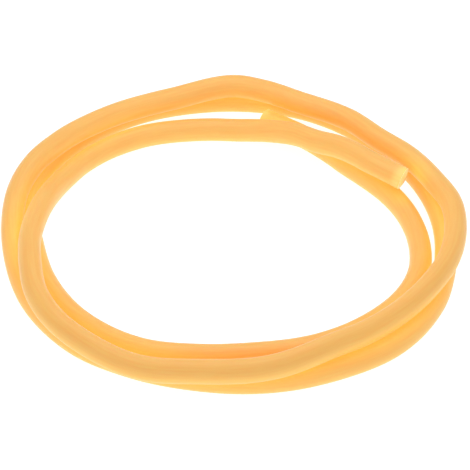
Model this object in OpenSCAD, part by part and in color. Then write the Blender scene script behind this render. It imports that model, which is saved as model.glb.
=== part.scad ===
// Coil of amber latex laboratory tubing: one length of soft tube laid in a little over three turns.
// Millimetres. It lies on the plane z = 0; -Y is the front, +Z is up.

/* [Tubing] */
// Outside diameter of the tube
tube_od = 9; // [7:0.25:12]
// Thickness of the rubber wall
wall = 1.5; // [1:0.1:2.2]
// How much narrower and taller a bent strand is than a straight one, as a share of its diameter
bend_oval = 0.05; // [0:0.01:0.06]

/* [Coil] */
// Width of the mean loop, left to right, between centre lines
coil_w = 164; // [130:2:240]
// Depth of the mean loop, front to back, between centre lines
coil_d = 160; // [130:2:240]

/* [Cut ends] */
// Straight run at the first end, the one on the table at the back
first_run = 14; // [12:1:20]
// Straight run at the last end, the one on top at the back right
last_run = 12; // [12:1:15]
// Depth of truly round bore at each end, where a glass tube or a barb goes in
round_deep = 10; // [5:1:10]

/* [Detail] */
// Sides of the tube's section
sides = 16; // [12:2:18]
// Angle between two rings of the sweep, in degrees of turn
ring_step = 8; // [6:1:10]

/* [Hidden] */
bore = tube_od - 2 * wall;
// A section with few sides keeps the true area when its corners stand out by this factor
area_k = sqrt(2 * PI / sides / sin(360 / sides));
// The swept bore stays inside the round one here, so that the cut wall is a full cylinder
under = 0.06;
over = 1;
// Lowest centre line: the tube just rests on the table
rest = (1 + bend_oval) * area_k / 2;
amber = [0.93, 0.66, 0.31];

// The route. Each station is [turn angle, out, up]: the angle from the back of the coil, clockwise
// seen from above; out of the mean loop and up from the table, both in outside diameters.
route = [
    // first turn, on the table: inside at the right, at the front and at the left
    [20, -1.5, .53], [30, -1.88, .53], [38, -2.12, .53], [46, -2.26, .53], [56, -2.2, .53], [66, -2, .53],
    [76, -1.76, .53], [86, -1.52, .53], [98, -1.22, .53], [110, -.95, .53], [122, -.85, .53], [138, -.9, .53],
    [156, -1, .53], [174, -1.15, .53], [190, -.97, .53], [206, -.6, .53], [226, -.5, .53], [248, -.57, .53],
    [264, -.52, .53], [284, 0, .53], [306, .35, .53], [330, .45, .53], [350, .4, .53],
    // second turn, on the table, outside
    [366, .35, .53], [380, .25, .53], [392, .05, .53], [406, -.2, .53], [424, -.27, .53], [441, -.25, .53],
    [458, -.12, .53], [470, .1, .53], [480, .35, .53], [498, .6, .53], [514, .5, .53], [530, .45, .53],
    [550, .35, .53], [568, .42, .53], [580, .52, .53], [592, .48, .53], [604, .42, .6], [616, .34, .95],
    // it climbs over the first turn at the left
    [628, .3, 1.3], [640, .3, 1.53], [652, .2, 1.62], [662, .05, 1.58], [682, -.15, 1.45], [702, -.2, 1.4],
    [719, .1, 1.56],
    // third turn, on top of the second, then over it to the outside at the front left
    [728, -.08, 1.5], [740, -.47, 1.42], [756, -.6, 1.42], [770, -.82, 1.46], [784, -.6, 1.6], [796, -.3, 1.62],
    [806, .1, 1.58], [818, .22, 1.55], [830, .25, 1.6], [840, .2, 1.62], [852, .12, 1.5], [866, .15, 1.5],
    [876, .3, 1.63], [892, .78, 1.56], [908, .87, 1.43], [922, 1.1, 1.3], [936, 1.03, 1.44], [946, .93, 1.6],
    [956, .62, 1.72], [966, .1, 1.82], [976, -.32, 1.8], [986, -.68, 1.64], [996, -.9, 1.4],
    [1006, -.97, 1.05], [1016, -.95, .75], [1027, -.85, .53], [1048, -1.15, .53], [1064, -1.55, .53],
    // the last stretch passes close by the first end and climbs onto the first turn
    [1080, -1.85, .55], [1092, -2.14, .85], [1104, -2.54, 1.27], [1114, -2.75, 1.45], [1124, -2.62, 1.6],
    [1134, -2.47, 1.68], [1139, -2.34, 1.68], [1143, -2.16, 1.68]
];
last = len(route) - 1;

function unit(v) = v / norm(v);
// Slope of column c at station i, over its two neighbours
function slope(i, c) = let (a = max(i - 1, 0), b = min(i + 1, last))
    (route[b][c] - route[a][c]) / (route[b][0] - route[a][0]);
// The station that the angle follows
function leg(angle, i = 0) = i >= last - 1 || angle < route[i + 1][0] ? i : leg(angle, i + 1);
// Smooth value of column c at an angle
function smooth(angle, c) = let (
    i = leg(angle), h = route[i + 1][0] - route[i][0], t = (angle - route[i][0]) / h,
    t2 = t * t, t3 = t2 * t)
    (2 * t3 - 3 * t2 + 1) * route[i][c] + (t3 - 2 * t2 + t) * h * slope(i, c)
    + (3 * t2 - 2 * t3) * route[i + 1][c] + (t3 - t2) * h * slope(i + 1, c);
// Centre line at an angle, measured square to the mean oval
function centre(angle) = let (
    n = unit([sin(angle) / coil_w, cos(angle) / coil_d]), out = smooth(angle, 1) * tube_od)
    [coil_w / 2 * sin(angle) + out * n.x, coil_d / 2 * cos(angle) + out * n.y,
     max(smooth(angle, 2), rest) * tube_od];

first_angle = route[0][0];
last_angle = route[last][0];
steps = round((last_angle - first_angle) / ring_step);
bent = [for (k = [0:steps]) centre(first_angle + (last_angle - first_angle) * k / steps)];
first_way = unit(bent[0] - centre(first_angle + 0.5));
last_way = unit(bent[steps] - centre(last_angle - 0.5));
first_mouth = bent[0] + first_way * first_run;
last_mouth = bent[steps] + last_way * last_run;
// The whole centre line, with one ring just behind each round bore
line = concat(
    [first_mouth, first_mouth - first_way * (round_deep + over)], bent,
    [last_mouth - last_way * (round_deep + over), last_mouth]);
rings = len(line);
// At the two straight runs the section is round, elsewhere it is oval
function is_end(i) = i < 3 || i > rings - 4;
function oval(i) = i < 2 || i > rings - 3 ? 0 : is_end(i) ? bend_oval / 2 : bend_oval;
function way(i) = i < 2 ? -first_way : i > rings - 3 ? last_way : unit(line[i + 1] - line[i - 1]);
function ring(i, r, s) = let (t = way(i), side = unit(cross(t, [0, 0, 1])), up = cross(side, t))
    [for (k = [0:sides - 1]) let (a = 360 * k / sides)
        line[i] + r * ((1 - s) * cos(a) * side + (1 + s) * sin(a) * up)];
skin = [for (i = [0:rings - 1]) each ring(i, tube_od / 2 * area_k, oval(i))];
lining = [for (i = [0:rings - 1]) each ring(i, is_end(i) ? bore / 2 - under : bore / 2 * area_k, oval(i))];
// It is moved so that the coil stands in the middle of its own box
xs = [for (p = skin) p.x];
ys = [for (p = skin) p.y];
zs = [for (p = skin) p.z];
shift = -[(min(xs) + max(xs)) / 2, (min(ys) + max(ys)) / 2, min(zs)];
count = rings * sides;
function next(k) = (k + 1) % sides;
walls = [for (i = [0:rings - 2]) for (k = [0:sides - 1]) let (
    a = i * sides + k, b = i * sides + next(k), c = a + sides, d = b + sides)
    each [[a, c, b], [b, c, d], [a + count, b + count, c + count], [b + count, d + count, c + count]]];
caps = [for (k = [0:sides - 1]) let (e = count - sides, n = next(k))
    each [[k, n, k + count], [n, n + count, k + count],
          [e + k, e + k + count, e + n], [e + n, e + k + count, e + n + count]]];

// A round drill that runs in from a mouth
module drill(mouth, way) {
    turn = [0, acos(way.z), atan2(way.y, way.x)];
    // Turned about its own axis, so that its corners and seam stay off the corners of the tube's section
    translate(mouth) rotate(turn) rotate([0, 0, 2.5 * 360 / 96])
        translate([0, 0, -round_deep]) cylinder(h = round_deep + over, d = bore, $fn = 96);
}

// The whole length of tubing, hollow from one cut end to the other
module tubing() {
    color(amber) translate(shift) difference() {
        polyhedron(points = concat(skin, lining), faces = concat(walls, caps), convexity = 12);
        drill(first_mouth, first_way);
        drill(last_mouth, last_way);
    }
}

tubing();
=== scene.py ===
# %% [markdown]
# # A coil of amber latex tubing
#
# Laboratory tubing like this is dipped or extruded from natural rubber. It is soft, a little
# translucent, and honey coloured: pale where light falls on it, deep orange where light has to pass
# through several walls. It lies on a white sheet, in a little over three loose turns.
#
# The first cell loads the solid model as a frame. Everything made here shares its axes and metres.

import math

import bmesh
import bpy
from mathutils import Matrix, Vector
from mathutils.kdtree import KDTree


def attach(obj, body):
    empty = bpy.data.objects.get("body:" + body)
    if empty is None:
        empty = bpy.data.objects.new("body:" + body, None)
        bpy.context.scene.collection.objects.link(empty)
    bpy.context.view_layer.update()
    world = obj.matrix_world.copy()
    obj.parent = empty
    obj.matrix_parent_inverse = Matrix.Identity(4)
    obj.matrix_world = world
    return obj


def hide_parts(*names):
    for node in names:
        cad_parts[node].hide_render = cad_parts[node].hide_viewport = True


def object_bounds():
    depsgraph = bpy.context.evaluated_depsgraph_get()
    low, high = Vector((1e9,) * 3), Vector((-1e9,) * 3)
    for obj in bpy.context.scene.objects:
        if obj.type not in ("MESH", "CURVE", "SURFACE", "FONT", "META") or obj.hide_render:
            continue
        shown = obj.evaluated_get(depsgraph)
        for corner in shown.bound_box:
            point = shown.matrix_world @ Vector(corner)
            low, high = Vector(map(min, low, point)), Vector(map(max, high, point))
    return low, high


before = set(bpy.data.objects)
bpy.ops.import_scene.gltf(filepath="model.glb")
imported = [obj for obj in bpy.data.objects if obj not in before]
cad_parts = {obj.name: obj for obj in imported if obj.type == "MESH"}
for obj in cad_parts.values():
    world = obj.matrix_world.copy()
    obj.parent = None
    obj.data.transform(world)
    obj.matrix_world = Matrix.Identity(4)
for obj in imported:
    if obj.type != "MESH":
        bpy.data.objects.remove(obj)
cad_low, cad_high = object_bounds()
MM = 0.001
print("solid model, mm:", [round(v / MM, 1) for v in cad_high - cad_low])

# %% [markdown]
# ## The camera
#
# A picture like this is taken from the front and above, with a longish lens. The height of the view
# shows in how much the round coil is flattened, and the distance in how much thicker the tube looks at
# the front than at the back. Shift and depth of field stay off, so that any other view works as well.

# %% Camera
VIEW_HEIGHT = math.radians(40)
VIEW_DISTANCE = 950 * MM
AIM = Vector((0.55, -1.4, 6)) * MM
FRAME_WIDTH = 179.4 * MM

camera_data = bpy.data.cameras.new("photo_camera")
SENSOR_WIDTH = 36
camera_data.sensor_width = SENSOR_WIDTH
camera_data.lens = SENSOR_WIDTH * VIEW_DISTANCE / FRAME_WIDTH
camera = bpy.data.objects.new("photo_camera", camera_data)
back = Vector((0, -math.cos(VIEW_HEIGHT), math.sin(VIEW_HEIGHT)))
camera.location = AIM + back * VIEW_DISTANCE
camera.rotation_mode = "QUATERNION"
camera.rotation_quaternion = (-back).to_track_quat("-Z", "Y")
bpy.context.collection.objects.link(camera)
bpy.context.scene.camera = camera
print("lens, mm:", round(camera_data.lens, 1))

# %% [markdown]
# ## The route of the tube
#
# A soft tube can't be placed turn by turn: it is one line. It could be drawn as a curve by eye, but
# then its turns would run into each other. Here each station says how far round the coil it is, how
# far out of the mean loop, and how high, the last two counted in tube diameters, so that a strand that
# rests on another is easy to read: one diameter up. These are the stations of the solid model.

# %% Stations: turn angle from the back, out, up
TUBE_OD, WALL = 9 * MM, 1.5 * MM
BORE = TUBE_OD - 2 * WALL
LOOP_W, LOOP_D = 164 * MM, 160 * MM
FIRST_RUN, LAST_RUN = 14 * MM, 12 * MM
ROUTE = [
    # first turn, on the table: inside at the right, at the front and at the left
    (20, -1.5, .53), (30, -1.88, .53), (38, -2.12, .53), (46, -2.26, .53), (56, -2.2, .53), (66, -2, .53),
    (76, -1.76, .53), (86, -1.52, .53), (98, -1.22, .53), (110, -.95, .53), (122, -.85, .53), (138, -.9, .53),
    (156, -1, .53), (174, -1.15, .53), (190, -.97, .53), (206, -.6, .53), (226, -.5, .53), (248, -.57, .53),
    (264, -.52, .53), (284, 0, .53), (306, .35, .53), (330, .45, .53), (350, .4, .53),
    # second turn, on the table, outside
    (366, .35, .53), (380, .25, .53), (392, .05, .53), (406, -.2, .53), (424, -.27, .53), (441, -.25, .53),
    (458, -.12, .53), (470, .1, .53), (480, .35, .53), (498, .6, .53), (514, .5, .53), (530, .45, .53),
    (550, .35, .53), (568, .42, .53), (580, .52, .53), (592, .48, .53), (604, .42, .6), (616, .34, .95),
    # it climbs over the first turn at the left
    (628, .3, 1.3), (640, .3, 1.53), (652, .2, 1.62), (662, .05, 1.58), (682, -.15, 1.45), (702, -.2, 1.4),
    (719, .1, 1.56),
    # third turn, on top of the second, then over it to the outside at the front left
    (728, -.08, 1.5), (740, -.47, 1.42), (756, -.6, 1.42), (770, -.82, 1.46), (784, -.6, 1.6),
    (796, -.3, 1.62), (806, .1, 1.58), (818, .22, 1.55), (830, .25, 1.6), (840, .2, 1.62), (852, .12, 1.5),
    (866, .15, 1.5),
    (876, .3, 1.63), (892, .78, 1.56), (908, .87, 1.43), (922, 1.1, 1.3), (936, 1.03, 1.44), (946, .93, 1.6),
    (956, .62, 1.72), (966, .1, 1.82), (976, -.32, 1.8), (986, -.68, 1.64), (996, -.9, 1.4),
    (1006, -.97, 1.05), (1016, -.95, .75), (1027, -.85, .53), (1048, -1.15, .53), (1064, -1.55, .53),
    # the last stretch passes close by the first end and climbs onto the first turn
    (1080, -1.85, .55), (1092, -2.14, .85), (1104, -2.54, 1.27), (1114, -2.75, 1.45), (1124, -2.62, 1.6),
    (1134, -2.47, 1.68), (1139, -2.34, 1.68), (1143, -2.16, 1.68),
]
print("stations:", len(ROUTE), "turns:", round((ROUTE[-1][0] - ROUTE[0][0]) / 360, 2))


# %% [markdown]
# Between stations the line has to bend softly. A cubic piece between each two stations, whose slope at
# a station follows its two neighbours, passes through every station and has no corner.

# %% From stations to a line
def slope(i, column):
    a, b = max(i - 1, 0), min(i + 1, len(ROUTE) - 1)
    return (ROUTE[b][column] - ROUTE[a][column]) / (ROUTE[b][0] - ROUTE[a][0])


def smooth_value(angle, column):
    i = 0
    while i < len(ROUTE) - 2 and angle >= ROUTE[i + 1][0]:
        i += 1
    span = ROUTE[i + 1][0] - ROUTE[i][0]
    t = (angle - ROUTE[i][0]) / span
    return (
        (2 * t**3 - 3 * t**2 + 1) * ROUTE[i][column]
        + (t**3 - 2 * t**2 + t) * span * slope(i, column)
        + (3 * t**2 - 2 * t**3) * ROUTE[i + 1][column]
        + (t**3 - t**2) * span * slope(i + 1, column)
    )


BEND_OVAL = 0.05
REST = (1 + BEND_OVAL) * 0.5


def tube_centre(angle):
    turn = math.radians(angle)
    outward = Vector((math.sin(turn) / LOOP_W, math.cos(turn) / LOOP_D, 0)).normalized()
    loop = Vector((LOOP_W / 2 * math.sin(turn), LOOP_D / 2 * math.cos(turn), 0))
    up = max(smooth_value(angle, 2), REST) * TUBE_OD
    return loop + outward * smooth_value(angle, 1) * TUBE_OD + Vector((0, 0, up))


# %% The whole centre line, one ring about every 2 mm
RING_ANGLE = 1.45
first_angle, last_angle = ROUTE[0][0], ROUTE[-1][0]
steps = round((last_angle - first_angle) / RING_ANGLE)
bent = [tube_centre(first_angle + (last_angle - first_angle) * k / steps) for k in range(steps + 1)]
first_way = (bent[0] - tube_centre(first_angle + 0.5)).normalized()
last_way = (bent[-1] - tube_centre(last_angle - 0.5)).normalized()
STRAIGHT_RINGS = 12
first_straight = [
    bent[0] + first_way * FIRST_RUN * k / STRAIGHT_RINGS for k in range(STRAIGHT_RINGS, 0, -1)
]
last_straight = [
    bent[-1] + last_way * LAST_RUN * (k + 1) / STRAIGHT_RINGS for k in range(STRAIGHT_RINGS)
]
line = first_straight + bent + last_straight
along = [0.0]
for a, b in zip(line, line[1:]):
    along.append(along[-1] + (b - a).length)
length = along[-1]
print("rings:", len(line), "length, mm:", round(length / MM))


# %% [markdown]
# ## The tube itself
#
# A curve object with a round bevel would give a plain pipe in one step, but a pipe has the same round
# section everywhere. Soft rubber is squeezed oval where it bends, and is round again at its free ends.
# So a ring is made once and extruded from ring to ring along the line: each extrusion is moved by the
# transform between two places of the line, and that transform also changes the ring's shape. The bore
# is a second skin made the same way, and the two are bridged at the ends, which gives the cut faces.

# %% The place and shape of the section at each ring
def way_at(i):
    if i <= STRAIGHT_RINGS:
        return -first_way
    if i >= len(line) - 1 - STRAIGHT_RINGS:
        return last_way
    return (line[i + 1] - line[i - 1]).normalized()


def oval_at(i):
    from_end = min(along[i], length - along[i])
    return BEND_OVAL * min(1, max(0, (from_end - LAST_RUN) / (2 * TUBE_OD)))


# Soft tube is never quite even: share of its diameter, wavelength over 2 pi in mm, where the wave starts
SWELLS = ((0.004, 21, 0), (0.003, 8.7, 1), (0.002, 4.1, 2))


def swell_at(i):
    s = along[i] / MM
    return sum((share * math.sin(s / wave + start) for share, wave, start in SWELLS), 1)


def place_at(i, diameter):
    way = way_at(i)
    side = way.cross(Vector((0, 0, 1))).normalized()
    up = side.cross(way)
    r, oval = diameter / 2 * swell_at(i), oval_at(i)
    place = Matrix.Identity(4)
    for column, axis in enumerate((side * r * (1 - oval), up * r * (1 + oval), way * TUBE_OD)):
        for row in range(3):
            place[row][column] = axis[row]
    place.translation = line[i]
    return place


# %% Two skins, extruded ring by ring
SIDES = 36
bm = bmesh.new()
around_layer = bm.verts.layers.float.new("around")
along_layer = bm.verts.layers.float.new("along")


def extrude_skin(diameter):
    first = bmesh.ops.create_circle(bm, cap_ends=False, radius=1, segments=SIDES)["verts"]
    for v in first:
        v[around_layer] = math.atan2(v.co.y, v.co.x)
    edges = [e for e in bm.edges if e.verts[0] in first and e.verts[1] in first]
    start = list(edges)
    bmesh.ops.transform(bm, matrix=place_at(0, diameter), verts=first)
    for i in range(1, len(line)):
        made = bmesh.ops.extrude_edge_only(bm, edges=edges)["geom"]
        ring = [v for v in made if isinstance(v, bmesh.types.BMVert)]
        edges = [e for e in made if isinstance(e, bmesh.types.BMEdge)]
        move = place_at(i, diameter) @ place_at(i - 1, diameter).inverted()
        bmesh.ops.transform(bm, matrix=move, verts=ring)
        for v in ring:
            v[along_layer] = along[i]
    return start, edges


outer_start, outer_end = extrude_skin(TUBE_OD)
bore_start, bore_end = extrude_skin(BORE)
print("rings a skin:", len(line), "sides:", SIDES)

# %% [markdown]
# Nobody cuts soft tubing quite square. At the last end the blade leaned, so that the cut faces a little
# more downwards and to the right than the tube does, and shows as a narrow pale sliver from the front.

# %% The two cuts
CUT_FACES = Vector((0.87, -0.43, -0.20)).normalized()
for v in {v for e in outer_end + bore_end for v in e.verts}:
    v.co -= last_way * ((v.co - line[-1]).dot(CUT_FACES) / last_way.dot(CUT_FACES))
cut_faces = []
for rims in (outer_start + bore_start, outer_end + bore_end):
    cut_faces += bmesh.ops.bridge_loops(bm, edges=rims)["faces"]
print("faces:", len(bm.faces))

# %% [markdown]
# A knife leaves a crisp edge, but rubber rounds it a little. A small bevel on both rims of each cut
# catches the light and shows the thickness of the wall.

# %% Soften the rims and point the faces outwards
CUT_SLOT = 1
RIM_ROUND = 0.12 * MM
for face in bm.faces:
    face.smooth = True
for face in cut_faces:
    face.material_index = CUT_SLOT
cut_set = set(cut_faces)
rim_edges = [e for e in bm.edges if {f in cut_set for f in e.link_faces} == {True, False}]
bmesh.ops.bevel(bm, geom=rim_edges, offset=RIM_ROUND, offset_type="OFFSET", segments=2, profile=0.5,
                affect="EDGES", material=-1)
bmesh.ops.recalc_face_normals(bm, faces=bm.faces)
print("volume, cm3:", round(bm.calc_volume() * 1e6, 2))

# %% Move it to the middle of the solid model's box, and make it a piece
low = Vector([min(v.co[k] for v in bm.verts) for k in range(3)])
high = Vector([max(v.co[k] for v in bm.verts) for k in range(3)])
cad_middle = (cad_low + cad_high) / 2
middle = (low + high) / 2
shift = Vector((cad_middle.x - middle.x, cad_middle.y - middle.y, cad_low.z - low.z))
bmesh.ops.transform(bm, matrix=Matrix.Translation(shift), verts=bm.verts)
path = [p + shift for p in line]
mesh = bpy.data.meshes.new("tube")
bm.to_mesh(mesh)
bm.free()
tube = bpy.data.objects.new("tube", mesh)
bpy.context.collection.objects.link(tube)
print("moved by, mm:", [round(v / MM, 2) for v in shift])

# %% [markdown]
# Light that reaches a strand between two others has passed through rubber already, so it is deeper
# orange there. The material paints this in: a deeper orange base colour as painted shade, and a weak
# painted glow. How near each spot is to another turn is stored on the mesh, for the material to read.
# So is how much of it faces the bright sheet, and how close it is to a cut, where light enters the wall
# end on; these two only steer the painted glow. The last one is a place around and along the tube,
# because the faint lines left by making run that way.

# %% How near is the next strand, and which way does the tube run
tree = KDTree(len(path))
for i, p in enumerate(path):
    tree.insert(p, i)
tree.balance()
SAME_STRAND = 30 * MM
NEAR_FROM, NEAR_TO = 0.5 * TUBE_OD, 1.45 * TUBE_OD


def nearness(co, s):
    best = NEAR_TO
    for _, i, d in tree.find_range(co, NEAR_TO):
        if abs(along[i] - s) > SAME_STRAND:
            best = min(best, d)
    return 1 - min(1, max(0, (best - NEAR_FROM) / (NEAR_TO - NEAR_FROM)))


arounds = [d.value for d in mesh.attributes["around"].data]
alongs = [d.value for d in mesh.attributes["along"].data]
near_values = [nearness(v.co, s) for v, s in zip(mesh.vertices, alongs)]
# Where a free spot faces down towards the sheet: the mask of a painted glow.
LOW_FROM = 0.5
below_values = [
    max(0, LOW_FROM - v.normal.z) / (1 + LOW_FROM) * (1 - n) for v, n in zip(mesh.vertices, near_values)
]
# Near each cut: the mask of a painted glow.
END_GLOW = 3.5 * MM
cut_values = [max(0, 1 - min(s, length - s) / END_GLOW) for s in alongs]
for name, values in (("near", near_values), ("below", below_values), ("cut", cut_values)):
    mesh.attributes.new(name, "FLOAT", "POINT").data.foreach_set("value", values)
grain = mesh.attributes.new("grain", "FLOAT_VECTOR", "POINT")
grain.data.foreach_set("vector", [
    c for a, s in zip(arounds, alongs) for c in (math.cos(a), math.sin(a), s / TUBE_OD)
])
print("vertices:", len(mesh.vertices))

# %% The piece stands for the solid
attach(tube, "root")
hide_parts("tubing")

# %% [markdown]
# ## Latex rubber
#
# Latex is neither opaque nor clear. Glass with a colour would be too clean and slow, and a plain
# diffuse orange looks like plastic. Subsurface light inside a diffuse amber gives the glow, a broad
# soft gloss gives the bloom on the skin, and a little sheen brightens the edges. Faint streaks run along
# the tube. In the valleys the base colour is painted a deeper orange, as painted shade. In the valleys,
# towards the sheet and at the cuts a weak emission is a painted glow, which stands for the light that
# has come through the rubber.

# %% A small helper: make a node and set its sockets and settings
def node(tree, kind, **settings):
    made = tree.nodes.new(kind)
    for key, value in settings.items():
        socket = key.replace("_", " ")
        if socket in made.inputs:
            made.inputs[socket].default_value = value
        else:
            setattr(made, key, value)
    return made


# %% [markdown]
# The skin and the cut faces share all of this and differ only in colour. So the tone with its painted
# valley shade, the streaks, the painted glow and the unevenness are one node group with colours as its
# inputs, and each material holds its own shader. The group reads what was stored on the mesh.

# %% The group: its sockets
latex = bpy.data.node_groups.new("latex_look", "ShaderNodeTree")
# Of the three colours, the first is the lit tone of the rubber, the second painted shade for the valleys, the
# third the colour of a painted glow.
for name in ("Lit", "Valley Shade", "Through"):
    latex.interface.new_socket(name=name, in_out="INPUT", socket_type="NodeSocketColor")
for name, kind in (("Tone", "Color"), ("Glow", "Color"), ("Roughness", "Float"), ("Streak Height", "Float")):
    latex.interface.new_socket(name=name, in_out="OUTPUT", socket_type="NodeSocket" + kind)
colours_in = node(latex, "NodeGroupInput")
looks_out = node(latex, "NodeGroupOutput")
print("sockets of the group:", len(latex.interface.items_tree))

# %% Streaks and clouds
STREAK_SCALE, STREAK_STRETCH, CLOUD_SCALE = 5.0, 0.12, 0.8
grain_place = node(latex, "ShaderNodeAttribute", attribute_name="grain").outputs["Vector"]
stretch = node(latex, "ShaderNodeMapping", Scale=(1, 1, STREAK_STRETCH))
lines = node(latex, "ShaderNodeTexNoise", Scale=STREAK_SCALE, Detail=3.0, Roughness=0.6)
cloud = node(latex, "ShaderNodeTexNoise", Scale=CLOUD_SCALE, Detail=3.0)
rough = node(latex, "ShaderNodeMapRange", To_Min=0.38, To_Max=0.58)
latex.links.new(grain_place, stretch.inputs["Vector"])
latex.links.new(stretch.outputs["Vector"], lines.inputs["Vector"])
latex.links.new(lines.outputs["Fac"], looks_out.inputs["Streak Height"])
latex.links.new(grain_place, cloud.inputs["Vector"])
latex.links.new(cloud.outputs["Fac"], rough.inputs["Value"])
latex.links.new(rough.outputs["Result"], looks_out.inputs["Roughness"])

# %% Colour: deeper orange in the valleys as painted shade, and paler or stronger in the streaks
VALLEY_POWER = 1.6
valley = node(latex, "ShaderNodeAttribute", attribute_name="near").outputs["Fac"]
depth = node(latex, "ShaderNodeMath", operation="POWER")
depth.inputs[1].default_value = VALLEY_POWER
# The tone mixes towards the valley colour by nearness to another strand: this is painted shade.
tone = node(latex, "ShaderNodeMix", data_type="RGBA")
streak = node(latex, "ShaderNodeMapRange", From_Min=0.35, From_Max=0.65, To_Max=0.75)
skin_tone = node(latex, "ShaderNodeMix", data_type="RGBA", blend_type="MULTIPLY", B=(0.99, 0.88, 0.80, 1))
latex.links.new(valley, depth.inputs[0])
latex.links.new(depth.outputs[0], tone.inputs["Factor"])
latex.links.new(colours_in.outputs["Lit"], tone.inputs["A"])
latex.links.new(colours_in.outputs["Valley Shade"], tone.inputs["B"])
latex.links.new(lines.outputs["Fac"], streak.inputs["Value"])
latex.links.new(streak.outputs["Result"], skin_tone.inputs["Factor"])
latex.links.new(tone.outputs["Result"], skin_tone.inputs["A"])
latex.links.new(skin_tone.outputs["Result"], looks_out.inputs["Tone"])

# %% The faint painted glow, standing for light through the rubber: in the valleys, towards the sheet, and at the cuts
FROM_SHEET = (0.12, 0.18, 0.03, 1)
FROM_CUT = (0.35, 0.24, 0.09, 1)
# Painted glow in the valleys, then painted glow from the sheet and from the cuts mixed on top.
in_valley = node(latex, "ShaderNodeMix", data_type="RGBA", A=(0, 0, 0, 1))
latex.links.new(depth.outputs[0], in_valley.inputs["Factor"])
latex.links.new(colours_in.outputs["Through"], in_valley.inputs["B"])
light = in_valley.outputs["Result"]
for stored, colour in (("below", FROM_SHEET), ("cut", FROM_CUT)):
    share = node(latex, "ShaderNodeAttribute", attribute_name=stored).outputs["Fac"]
    glow = node(latex, "ShaderNodeMix", data_type="RGBA", B=colour)
    latex.links.new(share, glow.inputs["Factor"])
    latex.links.new(light, glow.inputs["A"])
    light = glow.outputs["Result"]
latex.links.new(light, looks_out.inputs["Glow"])
print("nodes in the group:", len(latex.nodes))


# %% The rubber, once for the skin and once for the cut faces
SHINE = {
    "Emission Strength": 1.0,
    "Subsurface Weight": 0.35,
    "Subsurface Radius": (1.0, 0.5, 0.2),
    "Subsurface Scale": 2 * MM,
    "IOR": 1.45,
    "Sheen Weight": 0.6,
    "Sheen Tint": (1.0, 0.92, 0.75, 1),
    "Sheen Roughness": 0.3,
}


def rubber_material(name, lit, valley_shade, through):
    material = bpy.data.materials.new(name)
    material.use_nodes = True
    nt = material.node_tree
    skin = nt.nodes["Principled BSDF"]
    for socket, value in SHINE.items():
        skin.inputs[socket].default_value = value
    look = node(nt, "ShaderNodeGroup", node_tree=latex)
    for socket, colour in (("Lit", lit), ("Valley Shade", valley_shade), ("Through", through)):
        look.inputs[socket].default_value = colour
    bump = node(nt, "ShaderNodeBump", Strength=0.12, Distance=0.2 * MM)
    nt.links.new(look.outputs["Tone"], skin.inputs["Base Color"])
    # The group's glow is a painted glow, given out as emission.
    nt.links.new(look.outputs["Glow"], skin.inputs["Emission Color"])
    nt.links.new(look.outputs["Roughness"], skin.inputs["Roughness"])
    nt.links.new(look.outputs["Streak Height"], bump.inputs["Height"])
    nt.links.new(bump.outputs["Normal"], skin.inputs["Normal"])
    return material


# Each rubber: the lit tone, the painted shade of the valleys, and the colour of the painted glow.
rubber = rubber_material("amber_latex", (0.98, 0.54, 0.14, 1), (1.0, 0.46, 0.06, 1), (0.40, 0.27, 0.06, 1))
cut_rubber = rubber_material("cut_latex", (1.0, 0.85, 0.58, 1), (1.0, 0.82, 0.50, 1), (0.50, 0.38, 0.18, 1))
tube.data.materials.append(rubber)
tube.data.materials.append(cut_rubber)
print("materials:", [m.name for m in tube.data.materials])

# %% [markdown]
# ## Table and light
#
# The coil lies on a light table: a white sheet that glows a little, in a bright white room. So the sheet
# reads as pure white, also where it shows between two turns, and the rubber is lit from below as well
# as from above. This light keeps the undersides bright; the painted glow and painted valley shade of the
# rubber add to it and fill the valleys with orange.

# %% White card
card_mesh = bpy.data.meshes.new("card")
card_bm = bmesh.new()
CARD_HALF = 4
bmesh.ops.create_grid(card_bm, x_segments=1, y_segments=1, size=CARD_HALF)
card_bm.to_mesh(card_mesh)
card_bm.free()
card = bpy.data.objects.new("card", card_mesh)
bpy.context.collection.objects.link(card)
card_paint = bpy.data.materials.new("white_card")
card_paint.use_nodes = True
paper = card_paint.node_tree.nodes["Principled BSDF"]
paper.inputs["Base Color"].default_value = (0.3, 0.3, 0.3, 1)
paper.inputs["Roughness"].default_value = 0.9
paper.inputs["Emission Color"].default_value = (1, 1, 1, 1)
paper.inputs["Emission Strength"].default_value = 0.9
card_mesh.materials.append(card_paint)


# %% Soft lamps and a bright room
def soft_lamp(name, place, size, power):
    data = bpy.data.lights.new(name, "AREA")
    data.shape, data.size, data.energy = "DISK", size, power
    lamp = bpy.data.objects.new(name, data)
    lamp.location = place
    lamp.rotation_mode = "QUATERNION"
    lamp.rotation_quaternion = (-Vector(place)).to_track_quat("-Z", "Y")
    bpy.context.collection.objects.link(lamp)


soft_lamp("over_the_middle", (0.0, 0.04, 0.30), 0.3, 0.35)
soft_lamp("left_front", (-0.7, -0.5, 0.6), 0.5, 0.4)
world = bpy.data.worlds.new("white_room")
world.use_nodes = True
room = world.node_tree.nodes["Background"]
room.inputs["Color"].default_value = (1, 1, 1, 1)
room.inputs["Strength"].default_value = 0.68
bpy.context.scene.world = world
bpy.context.scene.view_settings.view_transform = "Standard"
